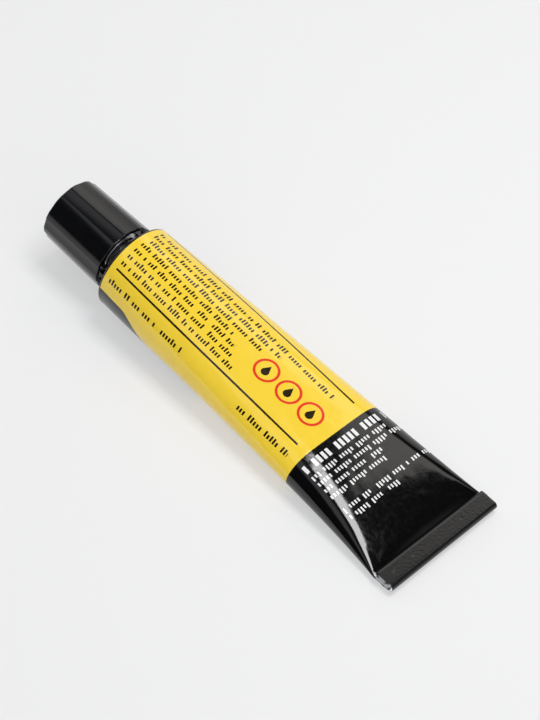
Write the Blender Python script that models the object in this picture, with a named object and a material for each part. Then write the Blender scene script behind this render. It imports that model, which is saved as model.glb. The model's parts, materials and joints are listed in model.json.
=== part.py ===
"""Collapsible aluminium glue tube with a fluted screw cap, lying on its flat side.

Every piece is modelled in the tube's own frame: u runs along the axis towards the cap, from the
edge where the sleeve meets the shoulder, y runs across, and w points up. Sizes are millimetres.
At the end the whole tube is tilted until its underside lies flat, and set down on z = 0.
"""
import math

import bmesh
import bpy

MM = 0.001

# Sleeve: a round tube pressed flat at the tail, so its girth is the same all the way.
# FLAT_HOLLOW is how deep the flats dish in for each millimetre of their half width.
TUBE_RADIUS = 9.5
WALL = 0.25
BODY_LENGTH = 81.9
TAIL_HALF_HEIGHT = 2.0
CLOSING_LENGTH = 28.0
TAIL_DROP = 0.6
CAVITY_STOP = 2.4
FLAT_HOLLOW = 0.012

# Folded tail: the pressed pair of walls rolled up twice
FOLD_WIDTH = 4.9
FOLD_SLIT = 0.12
FOLD_EDGE = 0.39

# Shoulder and neck
SHOULDER_BAND = 0.45
SHOULDER_CORNER = 0.3
SHOULDER_SLOPE = 0.622
SHOULDER_WALL = 0.8
THREAD_ROOT = 4.3
THREAD_CREST = 5.0
NECK_LENGTH = 6.5
NECK_WALL = 1.0
NOZZLE_LENGTH = 2.5
NOZZLE_TIP_RADIUS = 3.2
ORIFICE_RADIUS = 1.6
TIP_CHAMFER = 0.2

# Thread
PITCH = 2.0
THREAD_TURNS = 2
RIDGE_FOOT = 0.95
RIDGE_FLAT = 0.4
RUN_OUT = 0.25
THREAD_CLEARANCE = 0.3

# Seal discs, sealant and contents
SEAL_RADIUS = 2.1
SEAL_THICKNESS = 0.3
LINER_THICKNESS = 0.8
TAIL_SEAL_LENGTH = 2.9
HEAD_SPACE = 2.0
FIT_GAP = 0.3

# Cap
CAP_OPEN_RADIUS = 7.5
CAP_END_RADIUS = 7.1
CAP_RIM_GAP = 1.66
CAP_LENGTH = 16.1
CAP_MOUTH_WALL = 0.65
CAP_MOUTH_DEPTH = 1.2
CAP_WEB = 1.2
FLUTES = 11
FLUTE_DEPTH = 0.18
LAND_ANGLE = 13.0
LAND_PHASE = -6.3
RIM_CHAMFER = 0.2
END_CHAMFER = 0.4
RECESS_CLEARANCE = 0.6
SPIKE_RADIUS = 1.4
SPIKE_BELOW_END = 0.6

# Fineness of the meshes
QUARTER_POINTS = 9
FLUTE_POINTS = 6
WEDGE_STATIONS = 7
CLOSING_STATIONS = 9
BEND_STEPS = 6
RECESS_COLUMNS = 24
RIM_SMOOTH_ANGLE = 35.0

# Places along the axis that several pieces share
CONE_START = SHOULDER_BAND + SHOULDER_CORNER
CONE_RADIUS = TUBE_RADIUS - SHOULDER_CORNER
NECK_START = CONE_START + (CONE_RADIUS - THREAD_ROOT) * SHOULDER_SLOPE
NECK_TOP = NECK_START + NECK_LENGTH
TIP = NECK_TOP + NOZZLE_LENGTH
NECK_BORE = THREAD_ROOT - NECK_WALL
SEAL_SEAT_RADIUS = SEAL_RADIUS + FIT_GAP
SEAL_SEAT = TIP - 2 * FIT_GAP - SEAL_THICKNESS
CAP_THREAD_ROOT = THREAD_CREST + THREAD_CLEARANCE
CAP_THREAD_CREST = THREAD_ROOT + THREAD_CLEARANCE
CAP_RIM = CONE_START + (CONE_RADIUS - CAP_OPEN_RADIUS) * SHOULDER_SLOPE + CAP_RIM_GAP
CAP_END = CAP_RIM + CAP_LENGTH
LINER_START = TIP + FIT_GAP
CAP_FLOOR = LINER_START + LINER_THICKNESS + FIT_GAP
NECK_THREAD_FIRST = NECK_START + RIDGE_FOOT / 2 + RUN_OUT / 2
RING_COLUMNS = 4 * (QUARTER_POINTS + 1)


def clear_scene():
    for scene_object in list(bpy.context.scene.objects):
        bpy.data.objects.remove(scene_object, do_unlink=True)


def make_material(name, colour, roughness, metallic):
    material = bpy.data.materials.new(name)
    material.use_nodes = True
    shader = material.node_tree.nodes["Principled BSDF"]
    shader.inputs["Base Color"].default_value = (*colour, 1.0)
    shader.inputs["Roughness"].default_value = roughness
    shader.inputs["Metallic"].default_value = metallic
    material.diffuse_color = (*colour, 1.0)
    return material


def add_ring(bm, points):
    """One closed ring of vertices from (u, y, w) points in millimetres."""
    return [bm.verts.new((u * MM, y * MM, w * MM)) for u, y, w in points]


def skin(bm, first, second):
    """Joins two rings of equal count by a band of quads."""
    count = len(first)
    for index in range(count):
        following = (index + 1) % count
        bm.faces.new((first[index], first[following], second[following], second[index]))


def loft(bm, rings):
    for first, second in zip(rings, rings[1:]):
        skin(bm, first, second)


def fill_between(bm, outer, inner):
    """Fills the flat ring-shaped face between two rings of any counts."""
    edges = []
    for ring in (outer, inner):
        for index, vertex in enumerate(ring):
            pair = (vertex, ring[(index + 1) % len(ring)])
            edges.append(bm.edges.get(pair) or bm.edges.new(pair))
    bmesh.ops.triangle_fill(bm, use_beauty=True, edges=edges)


def make_object(name, bm, material, parent):
    """Turns the bmesh into a named object that hangs on the tube's axis."""
    bmesh.ops.recalc_face_normals(bm, faces=bm.faces)
    mesh = bpy.data.meshes.new(name)
    bm.to_mesh(mesh)
    bm.free()
    mesh.shade_smooth()
    mesh.set_sharp_from_angle(angle=math.radians(RIM_SMOOTH_ANGLE))
    mesh.materials.append(material)
    piece = bpy.data.objects.new(name, mesh)
    bpy.context.scene.collection.objects.link(piece)
    piece.parent = parent
    return piece


def circle(u, radius, columns=RING_COLUMNS):
    """Evenly spaced points round the axis, from +y over the top."""
    points = []
    for column in range(columns):
        angle = 2 * math.pi * column / columns
        points.append((u, radius * math.cos(angle), radius * math.sin(angle)))
    return points


def quarter_shares():
    """Shares of a quarter girth, from the side to just short of the top, close set at the side."""
    edge = FOLD_EDGE / (math.pi * TUBE_RADIUS / 2)
    return [0.0, edge] + [step / QUARTER_POINTS for step in range(1, QUARTER_POINTS)]


def oval(half_flat, radius, hollow=0.0):
    """Points (y, t) of two half circles joined by slightly hollow flats, at fixed shares of the girth."""
    quarter = half_flat + math.pi * radius / 2
    upper = []
    for share in quarter_shares():
        arc = share * quarter
        if arc < math.pi * radius / 2:
            angle = arc / radius
            upper.append((half_flat + radius * math.cos(angle), radius * math.sin(angle)))
        else:
            across = (quarter - arc) / half_flat
            upper.append((quarter - arc, radius - hollow * (1 - across ** 2)))
    left = upper + [(0.0, radius - hollow)] + [(-y, t) for y, t in reversed(upper[1:])]
    return left + [(-y, -t) for y, t in left]


def half_height(distance):
    """Half the sleeve's height, a distance from the shoulder edge towards the tail."""
    wedge = TUBE_RADIUS - (TUBE_RADIUS - TAIL_HALF_HEIGHT) * distance / BODY_LENGTH
    return wedge - (TAIL_HALF_HEIGHT - WALL) * closing(distance)


def closing(distance):
    """0 along the straight wedge, rising smoothly to 1 at the fold."""
    start = BODY_LENGTH - CLOSING_LENGTH
    return max(0.0, (distance - start) / CLOSING_LENGTH) ** 3


def sleeve_section(distance, inset):
    """Points of the sleeve's outline, or of a line a given inset inside it."""
    radius = half_height(distance)
    half_flat = math.pi * (TUBE_RADIUS - radius) / 2
    hollow = FLAT_HOLLOW * half_flat * (1 - closing(distance))
    centre = -TAIL_DROP * closing(distance)
    return [(-distance, y, centre + t) for y, t in oval(half_flat, radius - inset, hollow)]


def sleeve_stations(end):
    """Distances from the shoulder edge, wide apart on the wedge and close where it closes."""
    start = BODY_LENGTH - CLOSING_LENGTH
    wedge = [start * step / WEDGE_STATIONS for step in range(WEDGE_STATIONS)]
    tail = [start + (end - start) * step / CLOSING_STATIONS for step in range(CLOSING_STATIONS + 1)]
    return wedge + tail


def fold_sections():
    """Sections of the pressed walls along the double fold, from the sleeve to the tucked-in end."""
    layer = 2 * WALL + FOLD_SLIT
    base = -TAIL_DROP
    outer_centre = -BODY_LENGTH - FOLD_WIDTH + layer + WALL
    inner_centre = -BODY_LENGTH - layer / 2 - WALL
    path = []
    for step in range(BEND_STEPS + 1):
        turn = math.pi * step / BEND_STEPS
        path.append((outer_centre - layer * math.sin(turn), base + layer - layer * math.cos(turn), turn))
    for step in range(BEND_STEPS + 1):
        turn = math.pi + math.pi * step / BEND_STEPS
        height = base + 1.5 * layer - layer / 2 * math.cos(turn)
        path.append((inner_centre - layer / 2 * math.sin(turn), height, turn))
    path.append((outer_centre, base + layer, 2 * math.pi))
    outline = oval(math.pi * (TUBE_RADIUS - WALL) / 2, WALL)
    sections = []
    for u, w, turn in path:
        sections.append([(u + t * math.sin(turn), y, w + t * math.cos(turn)) for y, t in outline])
    return sections


def ridge_share(turn):
    """How far the thread ridge stands up: it runs out to nothing at both ends."""
    return max(0.0, min(1.0, turn / RUN_OUT, (THREAD_TURNS - turn) / RUN_OUT))


def thread_groups(column, columns, first, root, crest):
    """For each crossing of the ridge, its four (u, radius) corners at one column."""
    share = column / columns
    groups = []
    for number in range(THREAD_TURNS + 1):
        centre = first + PITCH * (number + share)
        if number == THREAD_TURNS:
            centre = first + PITCH * number + 1.1 * RIDGE_FOOT * share
        height = root + (crest - root) * ridge_share(number + share)
        groups.append([
            (centre - RIDGE_FOOT / 2, root),
            (centre - RIDGE_FLAT / 2, height),
            (centre + RIDGE_FLAT / 2, height),
            (centre + RIDGE_FOOT / 2, root),
        ])
    return groups


def threaded_wall(bm, lower, upper, first, root, crest):
    """Joins two rings by a round wall that carries a right-handed helical ridge."""
    columns = len(lower)
    grid = []
    for column in range(columns):
        angle = 2 * math.pi * column / columns
        chain = []
        for group in thread_groups(column, columns, first, root, crest):
            chain += add_ring(bm, [(u, r * math.cos(angle), r * math.sin(angle)) for u, r in group])
        grid.append(chain)
    for column in range(columns - 1):
        left = [lower[column], *grid[column], upper[column]]
        right = [lower[column + 1], *grid[column + 1], upper[column + 1]]
        for row in range(len(left) - 1):
            bm.faces.new((left[row], right[row], right[row + 1], left[row + 1]))
    left, right = grid[-1], grid[0]
    for row in range(len(left) - 5):
        bm.faces.new((left[row], right[row + 4], right[row + 5], left[row + 1]))
    bm.faces.new((lower[-1], lower[0], *right[:5], left[0]))
    bm.faces.new((left[-5], right[-1], upper[0], upper[-1], *reversed(left[-4:])))


def build_tube_body(material, parent):
    """One-piece aluminium tube: folded tail, sleeve, shoulder, threaded neck and nozzle."""
    bm = bmesh.new()
    outside = [add_ring(bm, section) for section in reversed(fold_sections())]
    for distance in reversed(sleeve_stations(BODY_LENGTH)):
        outside.append(add_ring(bm, sleeve_section(distance, 0.0)))
    for u, radius in (
        (SHOULDER_BAND, TUBE_RADIUS),
        (SHOULDER_BAND + SHOULDER_CORNER * 0.7, TUBE_RADIUS - SHOULDER_CORNER * 0.3),
        (CONE_START, CONE_RADIUS),
        (NECK_START, THREAD_ROOT),
    ):
        outside.append(add_ring(bm, circle(u, radius)))
    loft(bm, outside)
    bm.faces.new(outside[0])

    neck_top = add_ring(bm, circle(NECK_TOP, THREAD_ROOT))
    threaded_wall(bm, outside[-1], neck_top, NECK_THREAD_FIRST, THREAD_ROOT, THREAD_CREST)

    inside = [neck_top]
    for u, radius in (
        (TIP - TIP_CHAMFER, NOZZLE_TIP_RADIUS),
        (TIP, NOZZLE_TIP_RADIUS - TIP_CHAMFER),
        (TIP, SEAL_SEAT_RADIUS),
        (SEAL_SEAT, SEAL_SEAT_RADIUS),
        (SEAL_SEAT, ORIFICE_RADIUS),
        (NECK_TOP + (NECK_BORE - ORIFICE_RADIUS) * SHOULDER_SLOPE, ORIFICE_RADIUS),
        (NECK_TOP, NECK_BORE),
        (cone_inside(NECK_BORE), NECK_BORE),
        (cone_inside(TUBE_RADIUS - WALL), TUBE_RADIUS - WALL),
    ):
        inside.append(add_ring(bm, circle(u, radius)))
    for distance in sleeve_stations(BODY_LENGTH - CAVITY_STOP):
        inside.append(add_ring(bm, sleeve_section(distance, WALL)))
    loft(bm, inside)
    bm.faces.new(inside[-1])
    return make_object("tube_body", bm, material, parent)


def cone_inside(radius):
    """Where the shoulder's inner cone has a given radius."""
    return CONE_START - SHOULDER_WALL * math.hypot(1, SHOULDER_SLOPE) + (CONE_RADIUS - radius) * SHOULDER_SLOPE


def build_disc(name, start, thickness, radius, material, parent):
    bm = bmesh.new()
    rings = [add_ring(bm, circle(start, radius)), add_ring(bm, circle(start + thickness, radius))]
    loft(bm, rings)
    bm.faces.new(rings[0])
    bm.faces.new(rings[-1])
    return make_object(name, bm, material, parent)


def build_contents(material, parent):
    """The charge of glue, which fills the sleeve, the shoulder and the bore of the neck."""
    bm = bmesh.new()
    inset = WALL + FIT_GAP
    back = BODY_LENGTH - CAVITY_STOP - TAIL_SEAL_LENGTH - HEAD_SPACE
    rings = [add_ring(bm, sleeve_section(d, inset)) for d in reversed(sleeve_stations(back)[::2])]
    bore = NECK_BORE - FIT_GAP
    slack = FIT_GAP * math.hypot(1, SHOULDER_SLOPE)
    throat = NECK_TOP + (NECK_BORE - ORIFICE_RADIUS) * SHOULDER_SLOPE - slack
    for u, radius in (
        (cone_inside(TUBE_RADIUS - inset) - slack, TUBE_RADIUS - inset),
        (cone_inside(bore) - slack, bore),
        (NECK_TOP - slack, bore),
        (throat, ORIFICE_RADIUS - FIT_GAP),
        (SEAL_SEAT, ORIFICE_RADIUS - FIT_GAP),
    ):
        rings.append(add_ring(bm, circle(u, radius)))
    loft(bm, rings)
    bm.faces.new(rings[0])
    bm.faces.new(rings[-1])
    return make_object("adhesive_charge", bm, material, parent)


def build_tail_seal(material, parent):
    """Band of sealing compound in the narrow end of the sleeve, against the fold."""
    bm = bmesh.new()
    end = BODY_LENGTH - CAVITY_STOP - FIT_GAP
    rings = []
    for distance in (end, end - TAIL_SEAL_LENGTH / 2, end - TAIL_SEAL_LENGTH):
        rings.append(add_ring(bm, sleeve_section(distance, WALL + FIT_GAP)))
    loft(bm, rings)
    bm.faces.new(rings[0])
    bm.faces.new(rings[-1])
    return make_object("tail_seal", bm, material, parent)


def fluted(u, land_radius, inset):
    """Ring of the cap's outside: narrow lands with shallow hollow flutes between them."""
    points = []
    pitch = 2 * math.pi / FLUTES
    land = math.radians(LAND_ANGLE)
    for flute in range(FLUTES):
        start = math.radians(LAND_PHASE) + flute * pitch + land / 2
        points.append((start - land, land_radius - inset))
        for step in range(FLUTE_POINTS):
            share = step / FLUTE_POINTS
            depth = FLUTE_DEPTH * (1 - (2 * share - 1) ** 2)
            points.append((start + share * (pitch - land), land_radius - depth - inset))
    return [(u, radius * math.cos(angle), radius * math.sin(angle)) for angle, radius in points]


def build_cap(material, parent):
    """Moulded screw cap: fluted outside, threaded bore, and a piercing spike in the closed end."""
    bm = bmesh.new()
    outside = []
    for u, radius, inset in (
        (CAP_RIM, CAP_OPEN_RADIUS, RIM_CHAMFER),
        (CAP_RIM + RIM_CHAMFER, CAP_OPEN_RADIUS, 0.0),
        (CAP_END - END_CHAMFER, CAP_END_RADIUS, 0.0),
        (CAP_END - END_CHAMFER * 0.3, CAP_END_RADIUS, END_CHAMFER * 0.3),
        (CAP_END, CAP_END_RADIUS, END_CHAMFER),
    ):
        outside.append(add_ring(bm, fluted(u, radius, inset)))
    loft(bm, outside)

    recess = NOZZLE_TIP_RADIUS + RECESS_CLEARANCE
    recess_floor = CAP_FLOOR + CAP_WEB
    end_rings = []
    for u, radius in ((CAP_END, recess), (recess_floor, recess), (recess_floor, SPIKE_RADIUS)):
        end_rings.append(add_ring(bm, circle(u, radius, RECESS_COLUMNS)))
    loft(bm, end_rings)
    fill_between(bm, outside[-1], end_rings[0])
    tip = bm.verts.new(((CAP_END - SPIKE_BELOW_END) * MM, 0.0, 0.0))
    for index, vertex in enumerate(end_rings[-1]):
        bm.faces.new((vertex, end_rings[-1][(index + 1) % RECESS_COLUMNS], tip))

    mouth = CAP_OPEN_RADIUS - FLUTE_DEPTH - CAP_MOUTH_WALL
    bore = []
    for u, radius in (
        (CAP_RIM, mouth),
        (CAP_RIM + CAP_MOUTH_DEPTH, mouth),
        (CAP_RIM + CAP_MOUTH_DEPTH, CAP_THREAD_ROOT),
    ):
        bore.append(add_ring(bm, circle(u, radius)))
    loft(bm, bore)
    fill_between(bm, outside[0], bore[0])
    floor = add_ring(bm, circle(CAP_FLOOR, CAP_THREAD_ROOT))
    cap_first = NECK_THREAD_FIRST + PITCH / 2
    threaded_wall(bm, bore[-1], floor, cap_first, CAP_THREAD_ROOT, CAP_THREAD_CREST)
    bm.faces.new(floor)
    return make_object("cap", bm, material, parent)


def lay_down(axis):
    """Tilts the tube until its underside is level, and centres it over the origin."""
    tilt = math.atan2(TUBE_RADIUS - TAIL_HALF_HEIGHT, BODY_LENGTH)
    axis.rotation_euler = (0.0, -tilt, 0.0)
    axis.location = (0.0, 0.0, TUBE_RADIUS * MM * math.cos(tilt))
    bpy.context.view_layer.update()
    reach = []
    for piece in axis.children:
        reach += [(piece.matrix_world @ vertex.co).x for vertex in piece.data.vertices]
    axis.location.x = -(min(reach) + max(reach)) / 2


def build():
    clear_scene()
    axis = bpy.data.objects.new("tube_axis", None)
    bpy.context.scene.collection.objects.link(axis)
    enamel = make_material("yellow_enamel", (0.83, 0.66, 0.02), 0.25, 0.0)
    foil = make_material("bare_foil", (0.80, 0.81, 0.82), 0.3, 1.0)
    glue = make_material("amber_glue", (0.72, 0.52, 0.20), 0.4, 0.0)
    sealant = make_material("latex_sealant", (0.75, 0.74, 0.70), 0.6, 0.0)
    wad = make_material("white_wad", (0.85, 0.85, 0.83), 0.6, 0.0)
    plastic = make_material("black_plastic", (0.012, 0.012, 0.013), 0.3, 0.0)
    build_tube_body(enamel, axis)
    build_disc("orifice_seal", SEAL_SEAT + FIT_GAP, SEAL_THICKNESS, SEAL_RADIUS, foil, axis)
    build_contents(glue, axis)
    build_tail_seal(sealant, axis)
    build_disc("cap_liner", LINER_START, LINER_THICKNESS, CAP_THREAD_ROOT - FIT_GAP, wad, axis)
    build_cap(plastic, axis)
    lay_down(axis)


build()
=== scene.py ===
"""Glue tube lying on its flat side: its finished surfaces, the studio and the camera."""
import json
import math

import bmesh
import bpy
from mathutils import Matrix, Vector, noise


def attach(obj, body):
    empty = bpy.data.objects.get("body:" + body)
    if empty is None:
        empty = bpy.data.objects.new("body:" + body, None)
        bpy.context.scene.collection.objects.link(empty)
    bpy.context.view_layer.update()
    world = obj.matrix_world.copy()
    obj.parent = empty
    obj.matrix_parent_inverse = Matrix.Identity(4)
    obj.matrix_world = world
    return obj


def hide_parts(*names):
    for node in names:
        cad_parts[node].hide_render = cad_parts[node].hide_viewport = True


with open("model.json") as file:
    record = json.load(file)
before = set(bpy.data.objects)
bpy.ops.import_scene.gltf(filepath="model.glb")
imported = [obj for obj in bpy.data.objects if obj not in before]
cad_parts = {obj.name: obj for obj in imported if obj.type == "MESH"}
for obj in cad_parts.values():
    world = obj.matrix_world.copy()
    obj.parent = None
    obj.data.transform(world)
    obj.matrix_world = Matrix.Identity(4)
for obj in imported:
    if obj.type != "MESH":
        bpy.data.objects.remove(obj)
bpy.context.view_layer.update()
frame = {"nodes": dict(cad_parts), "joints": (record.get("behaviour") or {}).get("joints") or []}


# Where the tube lies. It is drawn in its own frame, in millimetres: u runs along the axis towards
# the cap from the edge of the shoulder, y across, and w up. The cap's hinge gives the axis and the
# middle of the cap's closed end, and so the place of the whole tube.
MM = 0.001
CAP_END = 19.567
hinge = next(joint for joint in frame["joints"] if joint["type"] == "hinge")
along = Vector(hinge["axis"]).normalized()
across = Vector((0.0, 1.0, 0.0))
upright = along.cross(across)
shoulder_edge = Vector(hinge["pos_m"]) - along * CAP_END * MM
lay_down = Matrix.Translation(shoulder_edge) @ Matrix((along, across, upright)).transposed().to_4x4()


# Sleeve, shoulder, neck and nozzle: one impact-extruded aluminium can with a thin wall. The maker
# prints and lacquers it outside, fills it from the open tail, presses the tail flat and rolls the
# pressed edge over twice, so every section of the sleeve keeps the round end's girth.
TUBE_RADIUS = 9.5
WALL = 0.25
BODY_LENGTH = 81.9
TAIL_HALF_HEIGHT = 2.0
CLOSING_LENGTH = 28.0
TAIL_DROP = 0.6
CAVITY_STOP = 2.4
QUARTER_GIRTH = math.pi * TUBE_RADIUS / 2
QUARTER_COLUMNS = 44
COLUMN_CROWDING = 1.5
FULL_SPREAD_AT = 45.0
ARC_STEPS = 6
BEND_SAMPLES = 60
STATION = 0.6
INNER_STATION = 3.0
UNSEEN_STATION = 1.0
# The fold: two turns of the pressed walls, with a slit between the layers
FOLD_WIDTH = 4.9
FOLD_SLIT = 0.12
FOLD_SKEW = 0.45
FOLD_BEND_STEPS = 12
FOLD_RUN_STEPS = 8
# Shoulder, neck, nozzle and the foil's seat
SHOULDER_CORNER_AT = 0.62
SHOULDER_CORNER = 0.22
SHOULDER_DRAFT = 0.02
SHOULDER_CONE_START = 0.75
SHOULDER_CONE_RADIUS = 9.2
SHOULDER_SLOPE = 0.622
SHOULDER_WALL = 0.8
THREAD_ROOT = 4.3
THREAD_CREST = 5.0
NECK_LENGTH = 6.5
NECK_WALL = 1.0
NECK_DRAFT = 0.05
NECK_BEVEL = 0.12
NOZZLE_LENGTH = 2.5
NOZZLE_TIP_RADIUS = 3.2
ORIFICE_RADIUS = 1.6
SEAL_SEAT_RADIUS = 2.4
SEAL_THICKNESS = 0.3
FIT_GAP = 0.3
# Marks of pressing and handling: ripples, puckers, creases, squeezed flanks and a crowned top
RIPPLE = 0.018
RIPPLE_LENGTH = 4.5
FINE_RIPPLE_SHARE = 0.45
FINE_RIPPLE_TIMES = 2.3
PUCKER_SHARE = 0.25
PUCKERS_ALONG = 1.1
PUCKERS_ACROSS = 0.12
PRESSED_FROM = 12.0
PRESSED_OVER = 40.0
UNPRESSED_SHARE = 0.25
CREASES = ((6.5, 11.5), (3.2, 12.8))
CREASE_FOOT = 0.6
CREASE_HEIGHT = 0.025
CREASE_WIDTH = 0.5
SIDE_FADE = 2.0
FOLD_FADE = 1.5
LEFT_SQUEEZE = 0.5
RIGHT_SQUEEZE = 0.2
SQUEEZE_AT = 38.0
SQUEEZE_REACH = 27.0
SQUEEZE_ARC = 18.5
SQUEEZE_SPAN = 5.0
CROWN = 0.19
CROWN_REACH = 12.0
# Places along the axis that follow from these
NECK_START = SHOULDER_CONE_START + (SHOULDER_CONE_RADIUS - THREAD_ROOT) * SHOULDER_SLOPE
NECK_TOP = NECK_START + NECK_LENGTH
TIP = NECK_TOP + NOZZLE_LENGTH
SEAL_SEAT = TIP - 2 * FIT_GAP - SEAL_THICKNESS


def quarter_arcs():
    """Distances round the girth from a centre line to the side, close set at the side."""
    to_side = [1 - column / QUARTER_COLUMNS for column in range(QUARTER_COLUMNS + 1)]
    return [QUARTER_GIRTH * (1 - share ** COLUMN_CROWDING) for share in to_side]


def closing(distance):
    """0 along the straight wedge, rising smoothly to 1 at the fold."""
    return max(0.0, (distance - BODY_LENGTH + CLOSING_LENGTH) / CLOSING_LENGTH) ** 3


def half_height(distance):
    """Half the sleeve's height: a straight wedge that closes to the bare walls at the fold."""
    wedge = TUBE_RADIUS - (TUBE_RADIUS - TAIL_HALF_HEIGHT) * distance / BODY_LENGTH
    return wedge - (TAIL_HALF_HEIGHT - WALL) * closing(distance)


def pressed_quarter(height, spread):
    """Points (y, w, facing) of a quarter section: flat in the middle, bending ever more to the side.

    facing is the angle that the wall has turned from level, and it grows as a power of the
    distance from where the bend starts: power 1 is a round corner, 2 an easy bend.
    """
    power = 1 + spread
    samples = [(k + 0.5) / BEND_SAMPLES for k in range(BEND_SAMPLES)]
    rise = sum(math.sin(math.pi / 2 * sample ** power) for sample in samples) / BEND_SAMPLES
    bend = min(QUARTER_GIRTH, height / rise)
    start = QUARTER_GIRTH - bend

    def facing_at(arc):
        return math.pi / 2 * (max(0.0, arc - start) / bend) ** power

    points = []
    y = 0.0
    w = 0.0
    before = 0.0
    for arc in quarter_arcs():
        for step in range(ARC_STEPS):
            facing = facing_at(before + (arc - before) * (step + 0.5) / ARC_STEPS)
            y += math.cos(facing) * (arc - before) / ARC_STEPS
            w -= math.sin(facing) * (arc - before) / ARC_STEPS
        before = arc
        points.append((y, w, facing_at(arc)))
    drop = points[-1][1]
    return [(y, w - drop, facing) for y, w, facing in points]


def girth_marks():
    """Signed distance round the girth from the top line for each column, from below round to below."""
    arcs = quarter_arcs()
    side = [2 * QUARTER_GIRTH - arc for arc in arcs[:-1]] + arcs[:0:-1]
    return side + [0.0] + [-mark for mark in reversed(side)]


def whole_ring(quarter, inset=0.0):
    """Points (y, w) of a full section from a quarter, moved inwards by an inset."""
    near = [(y - inset * math.sin(turn), w - inset * math.cos(turn)) for y, w, turn in quarter]
    left = [(y, -w) for y, w in near[:-1]] + near[:0:-1]
    right = [(-y, w) for y, w in near[:-1]] + [(-y, -w) for y, w in near[:0:-1]]
    return left + right


def squeezed(distance, mark):
    """How far a hand has squeezed in the sleeve's lower flanks, most on the left."""
    along_it = math.exp(-((distance - SQUEEZE_AT) / SQUEEZE_REACH) ** 2)
    round_it = math.exp(-((abs(mark) - SQUEEZE_ARC) / SQUEEZE_SPAN) ** 2)
    return (LEFT_SQUEEZE if mark > 0 else RIGHT_SQUEEZE) * along_it * round_it


def sleeve_quarter(distance):
    """The sleeve's quarter section: round corners at the shoulder, easier bends towards the tail."""
    return pressed_quarter(half_height(distance), min(1.0, distance / FULL_SPREAD_AT))


def outward_ring(quarter):
    """Directions (y, w) that point out of the wall round the full section of a quarter."""
    return whole_ring([(math.sin(turn), math.cos(turn), 0.0) for y, w, turn in quarter])


def sleeve_ring(distance, inset=0.0):
    """Points (u, y, w) of one full section of the sleeve, with its flanks squeezed in."""
    quarter = sleeve_quarter(distance)
    places = zip(whole_ring(quarter, inset), outward_ring(quarter), girth_marks())
    centre = -TAIL_DROP * closing(distance)
    ring = []
    for (y, w), (out_y, out_w), mark in places:
        inwards = squeezed(distance, mark)
        ring.append((-distance, y - out_y * inwards, centre + w - out_w * inwards))
    return ring


def round_ring(u, radius):
    marks = girth_marks()[:-1]
    return [(u, radius * math.sin(v / TUBE_RADIUS), radius * math.cos(v / TUBE_RADIUS)) for v in marks]


def fold_rings():
    """The pressed pair of walls along the double fold, each with its distance from the sleeve."""
    layer = 2 * WALL + FOLD_SLIT
    base = -TAIL_DROP
    outer = -BODY_LENGTH - FOLD_WIDTH + layer + WALL
    inner = -BODY_LENGTH - layer / 2 - WALL
    path = []
    for step in range(1, FOLD_RUN_STEPS):
        path.append((-BODY_LENGTH + (outer + BODY_LENGTH) * step / FOLD_RUN_STEPS, base, 0.0))
    for step in range(FOLD_BEND_STEPS + 1):
        turn = math.pi * step / FOLD_BEND_STEPS
        path.append((outer - layer * math.sin(turn), base + layer - layer * math.cos(turn), turn))
    for step in range(1, FOLD_RUN_STEPS):
        path.append((outer + (inner - outer) * step / FOLD_RUN_STEPS, base + 2 * layer, math.pi))
    for step in range(FOLD_BEND_STEPS + 1):
        turn = math.pi * (1 + step / FOLD_BEND_STEPS)
        rise = base + layer * 1.5 - layer / 2 * math.cos(turn)
        path.append((inner - layer / 2 * math.sin(turn), rise, turn))
    path.append((outer, base + layer, 2 * math.pi))
    flat = whole_ring(pressed_quarter(WALL, 1.0))
    rings = []
    travelled = 0.0
    last = (-BODY_LENGTH, base)
    for u, w, turn in path:
        travelled += math.hypot(u - last[0], w - last[1])
        last = (u, w)
        ring = []
        for y, t in flat:
            place = u + t * math.sin(turn)
            narrower = FOLD_SKEW * (1 - y / QUARTER_GIRTH) / 2 * (-place - BODY_LENGTH) / FOLD_WIDTH
            ring.append((place + narrower, y, w + t * math.cos(turn)))
        rings.append((-BODY_LENGTH - travelled, ring))
    return rings


def rounded_corner(before, corner, after, reach, steps):
    """Points of a curve that cuts a corner of a turned profile, a reach before and after it."""
    first = corner + (before - corner).normalized() * reach
    last = corner + (after - corner).normalized() * reach
    curve = []
    for step in range(steps + 1):
        share = step / steps
        curve.append(first * (1 - share) ** 2 + corner * 2 * share * (1 - share) + last * share ** 2)
    return curve


def turned_profile(corners, steps=8):
    """Profile (u, radius) through corners given as (u, radius, reach of the rounding)."""
    points = [Vector(corner[:2]) for corner in corners]
    profile = [points[0]]
    for index in range(1, len(points) - 1):
        reach = corners[index][2]
        if reach:
            profile += rounded_corner(points[index - 1], points[index], points[index + 1], reach, steps)
        else:
            profile.append(points[index])
    return profile + [points[-1]]


def inner_cone(radius):
    """Where the shoulder's inner cone has a given radius."""
    thickness = SHOULDER_WALL * math.hypot(1, SHOULDER_SLOPE)
    return SHOULDER_CONE_START - thickness + (SHOULDER_CONE_RADIUS - radius) * SHOULDER_SLOPE


def skin(bm, rings, marks):
    """Joins rings of points into a band of quads with a map of (along, round the girth)."""
    print_map = bm.loops.layers.uv.verify()
    rows = [(u, [bm.verts.new(Vector(point) * MM) for point in ring]) for u, ring in rings]
    count = len(marks) - 1
    for (u, ring), (next_u, next_ring) in zip(rows, rows[1:]):
        for column in range(count):
            following = (column + 1) % count
            face = bm.faces.new((ring[column], ring[following], next_ring[following], next_ring[column]))
            places = ((u, column), (u, column + 1), (next_u, column + 1), (next_u, column))
            for loop, (place, mark) in zip(face.loops, places):
                loop[print_map].uv = (place, marks[mark])
    return rows[0][1], rows[-1][1]


def wave(u, v, times, seed):
    """A smooth noise over the sleeve, with its waves shortened so many times."""
    return noise.noise(Vector((u / RIPPLE_LENGTH * times, v / RIPPLE_LENGTH * times, seed)))


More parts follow.
